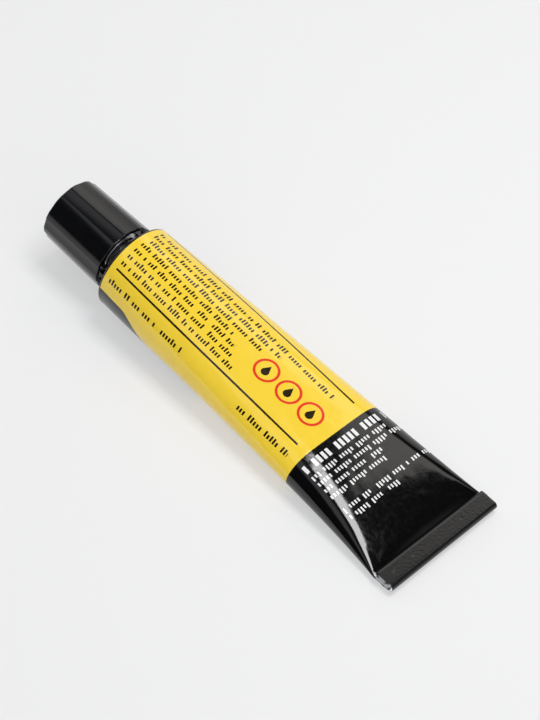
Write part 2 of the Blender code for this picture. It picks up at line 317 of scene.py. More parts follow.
def dent(u, v, y):
    """How far the hands and the press have moved the sleeve's wall outwards."""
    pressed = min(1.0, max(0.0, (-u - PRESSED_FROM) / PRESSED_OVER))
    pucker = noise.noise(Vector((u * PUCKERS_ALONG, v * PUCKERS_ACROSS, 5.3)))
    ripples = wave(u, v, 1.0, 3.7) + FINE_RIPPLE_SHARE * wave(u, v, FINE_RIPPLE_TIMES, 9.1)
    ripples += PUCKER_SHARE * pressed * pucker
    moved = RIPPLE * ripples * (UNPRESSED_SHARE + pressed)
    moved += CROWN * pressed * max(0.0, 1 - (v / CROWN_REACH) ** 2)
    for rise, reach in CREASES:
        arch = -BODY_LENGTH + CREASE_FOOT + rise * max(0.0, 1 - (y / reach) ** 2)
        moved += CREASE_HEIGHT * math.exp(-((u - arch) / CREASE_WIDTH) ** 2)
    topside = min(1.0, max(0.0, (QUARTER_GIRTH + SIDE_FADE / 2 - abs(v)) / SIDE_FADE))
    return moved * topside * min(1.0, (BODY_LENGTH + u) / FOLD_FADE)


def dented_ring(distance, marks):
    """One full section of the sleeve with the dents of handling in its upper side."""
    outward = outward_ring(sleeve_quarter(distance))
    moved = []
    for (u, y, w), (out_y, out_w), mark in zip(sleeve_ring(distance), outward, marks):
        shift = dent(u, mark, y)
        moved.append((u, y + out_y * shift, w + out_w * shift))
    return moved


def shoulder_profile():
    """Outline (u, radius) over shoulder, neck and nozzle to the foil's seat."""
    neck_top = NECK_TOP + (THREAD_ROOT - NOZZLE_TIP_RADIUS) * NECK_BEVEL
    return turned_profile([
        (0.0, TUBE_RADIUS, 0),
        (SHOULDER_CORNER_AT, TUBE_RADIUS - SHOULDER_DRAFT, SHOULDER_CORNER),
        (NECK_START, THREAD_ROOT, 0.35),
        (neck_top, THREAD_ROOT - NECK_DRAFT, 0.3),
        (TIP, NOZZLE_TIP_RADIUS, 0.3),
        (TIP, SEAL_SEAT_RADIUS, 0.1),
        (SEAL_SEAT, SEAL_SEAT_RADIUS, 0),
    ])


def passage_corners():
    """Corners (u, radius) of the way back from the foil's seat into the sleeve."""
    bore = THREAD_ROOT - NECK_WALL
    throat = NECK_TOP + (bore - ORIFICE_RADIUS) * SHOULDER_SLOPE
    return (
        (SEAL_SEAT, ORIFICE_RADIUS),
        (throat, ORIFICE_RADIUS),
        (NECK_TOP, bore),
        (inner_cone(bore), bore),
        (inner_cone(TUBE_RADIUS - WALL), TUBE_RADIUS - WALL),
    )


def shell_rings(marks):
    """Rings of the whole can, from the fold's inmost layer over the outside to the cavity's end.

    Each comes with its place along the print's map. From the shoulder's edge on, where no
    pattern is printed, that is the distance travelled.
    """
    rings = list(reversed(fold_rings()))
    count = round(BODY_LENGTH / STATION)
    for step in range(count + 1):
        distance = BODY_LENGTH * (1 - step / count)
        rings.append((-distance, dented_ring(distance, marks)))
    travelled = 0.0
    shoulder = shoulder_profile()
    for before, point in zip(shoulder, shoulder[1:]):
        travelled += (point - before).length
        rings.append((travelled, round_ring(point.x, point.y)))
    for u, radius in passage_corners():
        travelled += UNSEEN_STATION
        rings.append((travelled, round_ring(u, radius)))
    inside_end = BODY_LENGTH - CAVITY_STOP
    count = round(inside_end / INNER_STATION)
    for step in range(count + 1):
        travelled += INNER_STATION
        rings.append((travelled, sleeve_ring(inside_end * step / count, WALL)))
    return rings


def placed(name, data):
    """A new object, linked to the scene."""
    thing = bpy.data.objects.new(name, data)
    bpy.context.scene.collection.objects.link(thing)
    return thing


def build_shell():
    bm = bmesh.new()
    marks = girth_marks()
    rings = shell_rings(marks)
    first, last = skin(bm, rings, marks)
    print_map = bm.loops.layers.uv.verify()
    for end, (place, _) in ((first, rings[0]), (last, rings[-1])):
        for loop in bm.faces.new(end).loops:
            loop[print_map].uv = (place, QUARTER_GIRTH)
    bmesh.ops.recalc_face_normals(bm, faces=bm.faces)
    mesh = bpy.data.meshes.new("tube_shell")
    bm.to_mesh(mesh)
    bm.free()
    mesh.uv_layers[0].name = "girth"
    mesh.shade_smooth()
    mesh.set_sharp_from_angle(angle=math.radians(50))
    mesh.transform(lay_down)
    return placed("tube_shell", mesh)


# The lacquer and print: lemon yellow for two thirds of the sleeve, black from there to the fold and
# on the shoulder. Two rules, rows of small plain blocks and three ringed drops decorate it; all are
# flat in the lacquer and share its gloss.
YELLOW = (0.91, 0.64, 0.048, 1.0)
BLACK = (0.0025, 0.0025, 0.0028, 1.0)
INK = (0.022, 0.013, 0.004, 1.0)
WHITE = (0.80, 0.80, 0.79, 1.0)
RED = (0.78, 0.045, 0.018, 1.0)
METAL = (0.80, 0.81, 0.82, 1.0)
# Places on the map: along from the shoulder's edge, and round the girth from the top line
YELLOW_START, YELLOW_END = 0.28, -55.97
RULE_WIDTH = 0.42
RULES = (7.58, -7.75)
RULE_START, RULE_END = -1.1, -53.3
PANEL_SWEEP = (6.0, 17.0, 13.7, 19.7)
PANEL_END = 27.0
# Blocks: pitch of the rows, width of a cell and of the block in it, low and tall height, and seed.
# Rows are given by their lengths, and the low rows by start, length and seed.
FINE_BLOCKS = {"pitch": 1.83, "cell": 0.68, "mark": 0.40, "low": 0.80, "tall": 1.15, "seed": 0.0}
FINE_START = 1.2
FINE_FIRST = 6.35
FINE_ROWS = (31.9, 30.5, 28.6, 26.5, 32.4, 36.1, 49.0)
LOW_BLOCKS = {"pitch": 1.5, "cell": 0.78, "mark": 0.47, "low": 0.90, "tall": 1.25}
LOW_FIRST = 10.95
LOW_ROWS = ((1.1, 21.5, 21.0), (39.2, 14.2, 22.0))
TAIL_START = 10.4
HEADING_BLOCKS = {"pitch": 2.2, "cell": 1.20, "mark": 0.74, "low": 1.75, "tall": 1.75, "seed": 31.0}
HEADING_FIRST = 57.3
HEADING_ROWS = (22.0,)
TAIL_BLOCKS = {"pitch": 1.75, "cell": 0.74, "mark": 0.38, "low": 0.78, "tall": 1.10, "seed": 41.0}
TAIL_FIRST = 60.0
TAIL_ROWS = (20.5, 25.0, 15.5, 15.5, 0.0, 24.5, 13.0)
TALL_ABOVE = 0.68
GAP_SHARE = 0.135
GAP_SPREAD = 0.05
SKIPPED_SHARE = 0.03
ROW_DICE = 7.0
# Ringed drops
RING_PLACES = (-37.6, -43.8, -50.0)
RING_ACROSS = 0.9
RING_RADIUS = 2.45
RING_LINE = 0.55
DROP_BELLY = 0.85
DROP_BELLY_AT = 0.45
DROP_WIDENING = 0.52
DROP_HALF_WIDTH = 0.72
DROP_SPOUT = (-1.38, 0.2)
# Finish and wear of the lacquer, and the marks of the crimping jaws
LACQUER_IOR = 1.58
LACQUER_ROUGHNESS = (0.06, 0.12)
LACQUER_GRAIN = 0.004
LACQUER_PAST_CONE = 1.3
CRIMP_FROM = 0.3
CRIMP_ROUGHNESS = 0.12
CRIMP_GRAIN = 0.014
WORN_REACH = 0.34
CHIPPED_ABOVE = 0.39
DIMPLES = (11.7, 6.3, -6.9)
DIMPLES_AT = -89.6
DIMPLE_RADIUS = 0.36
DIMPLE_DEPTH = 0.02
# Bare metal past the lacquer
TOOL_MARKS = (9000.0, 700.0, 700.0)
BARE_DARK = (0.70, 0.71, 0.72, 1.0)
BARE_LIGHT = (0.84, 0.84, 0.85, 1.0)
BARE_ROUGHNESS = (0.24, 0.42)


def add(tree, kind, *feeds, **settings):
    """Adds a node whose inputs, in order, are fed by values or by other nodes' sockets."""
    node = tree.nodes.new(kind)
    for name, value in settings.items():
        setattr(node, name, value)
    for socket, feed in zip(node.inputs, feeds):
        if isinstance(feed, bpy.types.NodeSocket):
            tree.links.new(feed, socket)
        elif feed is not None:
            socket.default_value = feed
    return node


def calc(tree, operation, *feeds):
    """The result of one Math node."""
    return add(tree, "ShaderNodeMath", *feeds, operation=operation).outputs[0]


def between(tree, value, low, high):
    """1 where a value lies between two bounds, otherwise 0."""
    return calc(tree, "COMPARE", value, (low + high) / 2, (high - low) / 2)


def both(tree, first, second):
    return calc(tree, "MULTIPLY", first, second)


def either(tree, first, second):
    return calc(tree, "MAXIMUM", first, second)


def hypotenuse(tree, first, second):
    return calc(tree, "SQRT", calc(tree, "ADD", both(tree, first, first), both(tree, second, second)))


def cloudy(tree, place, scale, detail):
    """A soft noise over a place."""
    return add(tree, "ShaderNodeTexNoise", place, None, scale, detail).outputs[0]


def ranged(tree, pattern, low, high):
    """Stretches the usual values of a soft noise over a range."""
    return add(tree, "ShaderNodeMapRange", pattern, 0.3, 0.7, low, high).outputs[0]


def mixed(tree, share, first, second):
    """The first colour where the share is 0, the second where it is 1."""
    other_kinds = [None] * 5
    return add(tree, "ShaderNodeMix", share, *other_kinds, first, second, data_type="RGBA").outputs[2]


def relief(tree, shader, height, strength, depth):
    """Raises and sinks a finish by a height, as a share of a depth in metres."""
    bump = add(tree, "ShaderNodeBump", strength, depth)
    tree.links.new(height, bump.inputs["Height"])
    tree.links.new(bump.outputs[0], shader.inputs["Normal"])


def new_material(name):
    """A node material, its tree and its shader."""
    material = bpy.data.materials.new(name)
    material.use_nodes = True
    return material, material.node_tree, material.node_tree.nodes["Principled BSDF"]


def shade(colour, times):
    return tuple(part * times for part in colour[:3]) + (1.0,)


def block_rows(tree, reading, stacked, ends, pitch, cell, mark, low, tall, seed):
    """Rows of small blocks: short and tall ones in groups, with gaps at each row's own rhythm.

    reading is the distance from the rows' start and stacked the distance from the first base line.
    """
    row = calc(tree, "FLOOR", calc(tree, "DIVIDE", stacked, pitch))
    lift = calc(tree, "SUBTRACT", stacked, both(tree, row, pitch))
    cell_share = calc(tree, "DIVIDE", reading, cell)
    number = calc(tree, "FLOOR", cell_share)
    inside = calc(tree, "FRACT", cell_share)
    key = add(tree, "ShaderNodeCombineXYZ", number, calc(tree, "ADD", row, seed), 0.0).outputs[0]
    dice = add(tree, "ShaderNodeTexWhiteNoise", key, noise_dimensions="3D").outputs[0]
    is_tall = calc(tree, "GREATER_THAN", dice, TALL_ABOVE)
    height = calc(tree, "MULTIPLY_ADD", is_tall, tall - low, low)
    row_key = add(tree, "ShaderNodeCombineXYZ", 0.5, calc(tree, "ADD", row, seed), ROW_DICE).outputs[0]
    row_dice = add(tree, "ShaderNodeTexWhiteNoise", row_key, noise_dimensions="3D").outputs[0]
    rhythm = calc(tree, "MULTIPLY_ADD", row_dice, GAP_SPREAD, GAP_SHARE)
    group = calc(tree, "FRACT", calc(tree, "ADD", both(tree, number, rhythm), row_dice))
    block = both(tree, calc(tree, "LESS_THAN", lift, height), calc(tree, "GREATER_THAN", group, rhythm))
    block = both(tree, block, calc(tree, "GREATER_THAN", dice, SKIPPED_SHARE))
    block = both(tree, block, between(tree, inside, 0.0, mark / cell))
    length = 0.0
    for index, end in enumerate(ends):
        length = calc(tree, "MULTIPLY_ADD", calc(tree, "COMPARE", row, float(index), 0.5), end, length)
    in_row = both(tree, calc(tree, "GREATER_THAN", reading, 0.0), calc(tree, "LESS_THAN", reading, length))
    return both(tree, block, in_row)


def ringed_drop(tree, u, v, middle):
    """A red ring and the black drop inside it, pointing to the far side, as two masks."""
    from_u = calc(tree, "SUBTRACT", u, middle)
    from_v = calc(tree, "SUBTRACT", v, RING_ACROSS)
    distance = hypotenuse(tree, from_u, from_v)
    ring = between(tree, distance, RING_RADIUS - RING_LINE / 2, RING_RADIUS + RING_LINE / 2)
    from_belly = hypotenuse(tree, from_u, calc(tree, "SUBTRACT", from_v, DROP_BELLY_AT))
    belly = calc(tree, "LESS_THAN", from_belly, DROP_BELLY)
    half_width = calc(tree, "MULTIPLY_ADD", from_v, DROP_WIDENING, DROP_HALF_WIDTH)
    spout = calc(tree, "LESS_THAN", calc(tree, "ABSOLUTE", from_u), half_width)
    spout = both(tree, spout, between(tree, from_v, *DROP_SPOUT))
    return ring, either(tree, belly, spout)


def black_ground(tree, u, back, girth):
    """Where the ground is black: the tail, the shoulder, and a panel that sweeps in from below."""
    tail = calc(tree, "LESS_THAN", u, YELLOW_END)
    shoulder = calc(tree, "GREATER_THAN", u, YELLOW_START)
    sweep = add(tree, "ShaderNodeMapRange", back, *PANEL_SWEEP, interpolation_type="SMOOTHSTEP")
    panel = calc(tree, "GREATER_THAN", girth, sweep.outputs[0])
    panel = both(tree, panel, calc(tree, "LESS_THAN", back, PANEL_END))
    return either(tree, either(tree, tail, shoulder), panel)


def print_on_yellow(tree, u, v, back):
    """Rules, rows of blocks that read along the tube, and ringed drops, as a dark and a red mask."""
    ink = 0.0
    in_rule = between(tree, u, RULE_END, RULE_START)
    for rule in RULES:
        line = between(tree, v, rule - RULE_WIDTH / 2, rule + RULE_WIDTH / 2)
        ink = either(tree, both(tree, line, in_rule), ink)
    reading = calc(tree, "SUBTRACT", back, FINE_START)
    stacked = calc(tree, "SUBTRACT", FINE_FIRST, v)
    ink = either(tree, ink, block_rows(tree, reading, stacked, FINE_ROWS, **FINE_BLOCKS))
    stacked = calc(tree, "SUBTRACT", LOW_FIRST, v)
    for start, length, seed in LOW_ROWS:
        reading = calc(tree, "SUBTRACT", back, start)
        ink = either(tree, ink, block_rows(tree, reading, stacked, (length,), seed=seed, **LOW_BLOCKS))
    red = 0.0
    for middle in RING_PLACES:
        ring, drop = ringed_drop(tree, u, v, middle)
        red = either(tree, ring, red)
        ink = either(tree, ink, drop)
    return ink, red


def print_on_tail(tree, v, back):
    """A heading and rows of blocks that read across the tube, as a white mask."""
    reading = calc(tree, "SUBTRACT", TAIL_START, v)
    stacked = calc(tree, "SUBTRACT", back, HEADING_FIRST)
    heading = block_rows(tree, reading, stacked, HEADING_ROWS, **HEADING_BLOCKS)
    stacked = calc(tree, "SUBTRACT", back, TAIL_FIRST)
    return either(tree, heading, block_rows(tree, reading, stacked, TAIL_ROWS, **TAIL_BLOCKS))


def crimp_dimples(tree, u, v, girth, lift):
    """Sinks the marks of the crimping jaws into a height in millimetres."""
    to_side = calc(tree, "ABSOLUTE", calc(tree, "SUBTRACT", girth, QUARTER_GIRTH))
    from_middle = both(tree, calc(tree, "SUBTRACT", QUARTER_GIRTH, to_side), calc(tree, "SIGN", v))
    from_line = calc(tree, "SUBTRACT", u, DIMPLES_AT)
    for dimple in DIMPLES:
        away = hypotenuse(tree, calc(tree, "SUBTRACT", from_middle, dimple), from_line)
        sunk = add(tree, "ShaderNodeMapRange", away, 0.0, DIMPLE_RADIUS, -DIMPLE_DEPTH, 0.0,
                   interpolation_type="SMOOTHSTEP")
        lift = calc(tree, "ADD", lift, sunk.outputs[0])
    return lift


def enamel_material():
    material, tree, shader = new_material("printed_lacquer")
    place = add(tree, "ShaderNodeUVMap", uv_map="girth").outputs[0]
    split = add(tree, "ShaderNodeSeparateXYZ", place)
    u, v = split.outputs[0], split.outputs[1]
    back = calc(tree, "MULTIPLY", u, -1.0)
    girth = calc(tree, "ABSOLUTE", v)

    dark = black_ground(tree, u, back, girth)
    ink, red = print_on_yellow(tree, u, v, back)
    white = print_on_tail(tree, v, back)
    colour = mixed(tree, cloudy(tree, place, 0.35, 3.0), shade(YELLOW, 0.97), shade(YELLOW, 1.03))
    for mask, paint in ((ink, INK), (red, RED), (dark, BLACK), (white, WHITE)):
        colour = mixed(tree, mask, colour, paint)

    crimp = calc(tree, "LESS_THAN", u, -BODY_LENGTH - CRIMP_FROM)
    edge = between(tree, girth, QUARTER_GIRTH - WORN_REACH, QUARTER_GIRTH + WORN_REACH)
    chipped = calc(tree, "GREATER_THAN", cloudy(tree, place, 1.1, 2.0), CHIPPED_ABOVE)
    worn = both(tree, both(tree, crimp, edge), chipped)
    tree.links.new(mixed(tree, worn, colour, METAL), shader.inputs["Base Color"])
    tree.links.new(worn, shader.inputs["Metallic"])

    shader.inputs["IOR"].default_value = LACQUER_IOR
    rubbed = ranged(tree, cloudy(tree, place, 1.1, 4.0), *LACQUER_ROUGHNESS)
    rubbed = add(tree, "ShaderNodeMix", crimp, None, rubbed, CRIMP_ROUGHNESS, data_type="FLOAT")
    tree.links.new(rubbed.outputs[0], shader.inputs["Roughness"])

    depth = calc(tree, "MULTIPLY_ADD", crimp, CRIMP_GRAIN, LACQUER_GRAIN)
    lift = both(tree, cloudy(tree, place, 1.6, 3.0), depth)
    lift = crimp_dimples(tree, u, v, girth, lift)
    relief(tree, shader, both(tree, lift, MM), 1.0, 1.0)
    return material


def bare_metal_material():
    """Drawn aluminium of the neck and nozzle, with the fine rings that the turning tool left."""
    material, tree, shader = new_material("bare_aluminium")
    shader.inputs["Metallic"].default_value = 1.0
    turned = add(tree, "ShaderNodeMapping", add(tree, "ShaderNodeTexCoord").outputs["Object"])
    turned.inputs["Scale"].default_value = TOOL_MARKS
    streak = cloudy(tree, turned.outputs[0], 1.0, 3.0)
    tree.links.new(ranged(tree, streak, *BARE_ROUGHNESS), shader.inputs["Roughness"])
    tree.links.new(mixed(tree, streak, BARE_DARK, BARE_LIGHT), shader.inputs["Base Color"])
    relief(tree, shader, streak, 0.4, 0.02 * MM)
    return material


tube_shell = build_shell()
aluminium = bare_metal_material()
tube_shell.data.materials.append(enamel_material())
tube_shell.data.materials.append(aluminium)
cone_length = math.dist((SHOULDER_CONE_START, SHOULDER_CONE_RADIUS), (NECK_START, THREAD_ROOT))
lacquered_to = cone_length + LACQUER_PAST_CONE
print_map = tube_shell.data.uv_layers["girth"].data
for face in tube_shell.data.polygons:
    face.material_index = int(max(print_map[loop].uv.x for loop in face.loop_indices) > lacquered_to)
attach(tube_shell, "tube")
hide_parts("tube_body")


# Neck thread: a rolled ridge of two turns with a 2 mm pitch, which runs out to nothing at both ends.
# It is the neck's own metal. The same rule winds the ridge inside the cap, turned inwards.
PITCH = 2.0
THREAD_TURNS = 2.0
RIDGE_FOOT = 0.95
RIDGE_FLAT = 0.4
RIDGE_BURIED = 0.15
RUN_OUT = 0.25
THREAD_CLEARANCE = 0.3
POINTS_A_TURN = 96
SEAM_WELD = 0.0005
NECK_THREAD_FIRST = NECK_START + RIDGE_FOOT / 2 + RUN_OUT / 2


def new_tree(name, inputs):
    """A geometry tree with a geometry input and output and named inputs of the given kinds."""
    tree = bpy.data.node_groups.new(name, "GeometryNodeTree")
    tree.interface.new_socket("Profile", in_out="INPUT", socket_type="NodeSocketGeometry")
    for label, kind in inputs.items():
        tree.interface.new_socket(label, in_out="INPUT", socket_type="NodeSocket" + kind)
    tree.interface.new_socket("Shape", in_out="OUTPUT", socket_type="NodeSocketGeometry")
    return tree, tree.nodes.new("NodeGroupInput"), tree.nodes.new("NodeGroupOutput")


def profile_grid(tree, given, columns):
    """A grid with one row for each profile point: its mesh, each vertex's column and profile place."""
    size = add(tree, "GeometryNodeAttributeDomainSize", given.outputs["Profile"], component="MESH")
    grid = add(tree, "GeometryNodeMeshGrid", 1.0, 1.0, size.outputs["Point Count"], columns)
    index = add(tree, "GeometryNodeInputIndex").outputs[0]
    row = calc(tree, "FLOOR", calc(tree, "DIVIDE", calc(tree, "ADD", index, 0.5), columns))
    column = calc(tree, "SUBTRACT", index, calc(tree, "MULTIPLY", row, columns))
    where = add(tree, "GeometryNodeInputPosition").outputs[0]
    sample = add(tree, "GeometryNodeSampleIndex", given.outputs["Profile"], data_type="FLOAT_VECTOR")
    value_in = next(s for s in sample.inputs if s.name == "Value" and s.enabled)
    tree.links.new(where, value_in)
    tree.links.new(row, sample.inputs["Index"])
    split = add(tree, "ShaderNodeSeparateXYZ", next(s for s in sample.outputs if s.enabled))
    return grid.outputs["Mesh"], column, split.outputs[0], split.outputs[1]


def close_up(tree, mesh, u, radius, angle, given, result):
    """Puts the grid's vertices round the axis, joins the seam and gives the shape its material."""
    y = calc(tree, "MULTIPLY", radius, calc(tree, "COSINE", angle))
    w = calc(tree, "MULTIPLY", radius, calc(tree, "SINE", angle))
    place = add(tree, "ShaderNodeCombineXYZ", u, y, w).outputs[0]
    moved = add(tree, "GeometryNodeSetPosition", mesh, None, place)
    merged = add(tree, "GeometryNodeMergeByDistance", moved.outputs[0])
    merged.inputs["Distance"].default_value = SEAM_WELD
    real = add(tree, "GeometryNodeRealizeInstances", merged.outputs[0])
    painted = add(tree, "GeometryNodeSetMaterial", real.outputs[0], None, given.outputs["Material"])
    tree.links.new(painted.outputs[0], result.inputs[0])


def ridge_tree():
    """Winds a closed ridge profile (u, height) round a cylinder as a right-handed thread."""
    tree, given, result = new_tree("Wound ridge", {
        "Root Radius": "Float", "Pitch": "Float", "Turns": "Float", "Run Out": "Float",
        "First": "Float", "Points": "Int", "Material": "Material",
    })
    mesh, column, u, height = profile_grid(tree, given, given.outputs["Points"])
    last = calc(tree, "SUBTRACT", given.outputs["Points"], 1.0)
    turn = calc(tree, "MULTIPLY", calc(tree, "DIVIDE", column, last), given.outputs["Turns"])
    left = calc(tree, "SUBTRACT", given.outputs["Turns"], turn)
    nearest = calc(tree, "DIVIDE", calc(tree, "MINIMUM", turn, left), given.outputs["Run Out"])
    share = calc(tree, "MINIMUM", 1.0, nearest)
    radius = calc(tree, "MULTIPLY_ADD", height, share, given.outputs["Root Radius"])
    narrow = calc(tree, "MULTIPLY", u, calc(tree, "SQRT", share))
    start = calc(tree, "MULTIPLY_ADD", turn, given.outputs["Pitch"], given.outputs["First"])
    angle = calc(tree, "MULTIPLY", turn, 2 * math.pi)
    close_up(tree, mesh, calc(tree, "ADD", narrow, start), radius, angle, given, result)
    return tree


def grown(name, tree, profile, settings):
    """Runs a tree on a profile drawn as a line of points, and returns the plain mesh object."""
    line = bpy.data.meshes.new(name + "_profile")
    edges = [(k, k + 1) for k in range(len(profile) - 1)]
    line.from_pydata([(point[0], point[1], 0.0) for point in profile], edges, [])
    piece = placed(name, line)
    modifier = piece.modifiers.new("Shape", "NODES")
    modifier.node_group = tree
    for item in tree.interface.items_tree:
        if item.name in settings:
            modifier[item.identifier] = settings[item.name]
    bpy.context.view_layer.update()
    mesh = bpy.data.meshes.new_from_object(piece.evaluated_get(bpy.context.evaluated_depsgraph_get()))
    piece.modifiers.clear()
    piece.data = mesh
    bpy.data.meshes.remove(line)
    mesh.name = name
    bm = bmesh.new()
    bm.from_mesh(mesh)
    bmesh.ops.dissolve_degenerate(bm, edges=bm.edges, dist=1e-5)
    bmesh.ops.recalc_face_normals(bm, faces=bm.faces)
    bm.to_mesh(mesh)
    bm.free()
    mesh.transform(lay_down @ Matrix.Scale(MM, 4))
    mesh.shade_smooth()
    mesh.set_sharp_from_angle(angle=math.radians(40))
    return piece


def ridge_profile(height, bury):
    """Closed section (u, height) of a ridge with a foot buried in the wall that carries it."""
    foot, flat = RIDGE_FOOT / 2, RIDGE_FLAT / 2
    rising = [(-foot, bury), (-foot, 0.0), (-flat, height)]
    falling = [(-u, lift) for u, lift in reversed(rising)]
    return rising + falling + rising[:1]


wound = ridge_tree()
thread_points = round(THREAD_TURNS * POINTS_A_TURN)
neck_ridge = ridge_profile(THREAD_CREST - THREAD_ROOT, -RIDGE_BURIED)
neck_thread = grown("neck_thread", wound, neck_ridge, {
    "Root Radius": THREAD_ROOT, "Pitch": PITCH, "Turns": THREAD_TURNS, "Run Out": RUN_OUT,
    "First": NECK_THREAD_FIRST, "Points": thread_points, "Material": aluminium,
})
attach(neck_thread, "tube")
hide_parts("tube_body")


# Orifice foil: a thin aluminium membrane that closes a new tube. It is pressed into its seat in the
# nozzle's tip, so it dishes a little and keeps a rolled rim.
def turned_tree():
    """Turns a profile (u, radius) round the axis, with hollow flutes where the radius is large."""
    tree, given, result = new_tree("Turned and fluted", {
        "Columns": "Int", "Flutes": "Float", "Flute Depth": "Float", "Land Share": "Float",
        "Phase": "Float", "Fluted From": "Float", "Fade In": "Float", "Material": "Material",
    })
    across_seam = calc(tree, "ADD", given.outputs["Columns"], 1.0)
    mesh, column, u, radius = profile_grid(tree, given, across_seam)
    turn = calc(tree, "DIVIDE", column, given.outputs["Columns"])
    turned = calc(tree, "SUBTRACT", turn, given.outputs["Phase"])
    inside = calc(tree, "FRACT", calc(tree, "MULTIPLY", turned, given.outputs["Flutes"]))
    past_land = calc(tree, "SUBTRACT", inside, given.outputs["Land Share"])
    hollow = calc(tree, "SUBTRACT", 1.0, given.outputs["Land Share"])
    share = calc(tree, "MAXIMUM", 0.0, calc(tree, "DIVIDE", past_land, hollow))
    from_middle = calc(tree, "MULTIPLY_ADD", share, 2.0, -1.0)
    bowl = calc(tree, "SUBTRACT", 1.0, calc(tree, "MULTIPLY", from_middle, from_middle))
    depth = calc(tree, "MULTIPLY", bowl, given.outputs["Flute Depth"])
    outside = calc(tree, "SUBTRACT", radius, given.outputs["Fluted From"])
    outside = calc(tree, "DIVIDE", outside, given.outputs["Fade In"])
    outside = calc(tree, "MINIMUM", 1.0, calc(tree, "MAXIMUM", 0.0, outside))
    radius = calc(tree, "SUBTRACT", radius, calc(tree, "MULTIPLY", depth, outside))
    angle = calc(tree, "MULTIPLY", turn, 2 * math.pi)
    close_up(tree, mesh, u, radius, angle, given, result)
    return tree


def foil_material():
    material, tree, shader = new_material("seal_foil")
    shader.inputs["Metallic"].default_value = 1.0
    shader.inputs["Base Color"].default_value = FOIL_COLOUR
    crinkle = cloudy(tree, add(tree, "ShaderNodeTexCoord").outputs["Object"], 1400.0, 4.0)
    tree.links.new(ranged(tree, crinkle, *FOIL_ROUGHNESS), shader.inputs["Roughness"])
    relief(tree, shader, crinkle, 0.5, 0.06 * MM)
    return material


SEAL_RADIUS = 2.1
SEAL_START = SEAL_SEAT + FIT_GAP
FOIL_RIM = 0.35
FOIL_STEP = 0.1
FOIL_STEP_RUN = 0.25
FOIL_DISH = 0.14
FOIL_COLUMNS = 72
FOIL_COLOUR = (0.83, 0.84, 0.85, 1.0)
FOIL_ROUGHNESS = (0.18, 0.34)
seal_face = SEAL_START + SEAL_THICKNESS
turned = turned_tree()
foil = grown("seal_foil", turned, turned_profile([
    (SEAL_START, 0.0, 0),
    (SEAL_START, SEAL_RADIUS, 0.05),
    (seal_face, SEAL_RADIUS, 0.09),
    (seal_face, SEAL_RADIUS - FOIL_RIM, 0.1),
    (seal_face - FOIL_STEP, SEAL_RADIUS - FOIL_RIM - FOIL_STEP_RUN, 0.12),
    (seal_face - FOIL_DISH, 0.0, 0),
]), {"Columns": FOIL_COLUMNS, "Fade In": 1.0, "Material": foil_material()})
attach(foil, "tube")
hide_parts("orifice_seal")


# Glue and tail sealant: the solids inside the sleeve, out of sight on the whole tube. The glue is a
# clear amber contact adhesive, and the sealant a chalky latex band sprayed in before the crimp.
def solid_filling(name, light, dark, roughness, scale, through=0.0):
    """A cloudy material for a solid mass, light let through by a share."""
    material, tree, shader = new_material(name)
    shader.inputs["Roughness"].default_value = roughness
    shader.inputs["Transmission Weight"].default_value = through
    cloud = cloudy(tree, add(tree, "ShaderNodeTexCoord").outputs["Object"], scale, 4.0)
    tree.links.new(mixed(tree, cloud, dark, light), shader.inputs["Base Color"])
    relief(tree, shader, cloud, 0.3, 0.05 * MM)
    return material


glue = solid_filling(
    "amber_glue", light=(0.74, 0.50, 0.16, 1.0), dark=(0.60, 0.36, 0.09, 1.0),
    roughness=0.18, scale=260.0, through=0.25,
)
sealant = solid_filling(
    "latex_sealant", light=(0.78, 0.77, 0.72, 1.0), dark=(0.66, 0.65, 0.60, 1.0),
    roughness=0.6, scale=900.0,
)
for node, filling in (("adhesive_charge", glue), ("tail_seal", sealant)):
    filled = frame["nodes"][node]
    filled.data.materials.clear()
    filled.data.materials.append(filling)


# Cap liner: a pressed disc of white foamed wad, loose in the bottom of the cap. It carries the ring
# that the nozzle's tip has pressed into it.
LINER_START = TIP + FIT_GAP
LINER_THICKNESS = 0.8
CAP_THREAD_ROOT = THREAD_CREST + THREAD_CLEARANCE
LINER_RADIUS = CAP_THREAD_ROOT - FIT_GAP
LINER_COLUMNS = 96
PRESSED_RING_DEPTH = 0.09
PRESSED_RING_SLOPE = 0.15
ring_floor = LINER_START + PRESSED_RING_DEPTH
ring_inside = NOZZLE_TIP_RADIUS - 0.6
ring_outside = NOZZLE_TIP_RADIUS + 0.05
liner_back = LINER_START + LINER_THICKNESS
wad = solid_filling(
    "white_wad", light=(0.84, 0.84, 0.82, 1.0), dark=(0.74, 0.74, 0.71, 1.0),
    roughness=0.7, scale=2400.0,
)
liner = grown("liner_wad", turned, turned_profile([
    (LINER_START, 0.0, 0),
    (LINER_START, ring_inside - PRESSED_RING_SLOPE, 0.1),
    (ring_floor, ring_inside, 0.06),
    (ring_floor, ring_outside, 0.06),
    (LINER_START, ring_outside + PRESSED_RING_SLOPE, 0.1),
    (LINER_START, LINER_RADIUS, 0.15),
    (liner_back, LINER_RADIUS, 0.15),
    (liner_back, 0.0, 0),
]), {"Columns": LINER_COLUMNS, "Fade In": 1.0, "Material": wad})
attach(liner, "liner")
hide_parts("cap_liner")


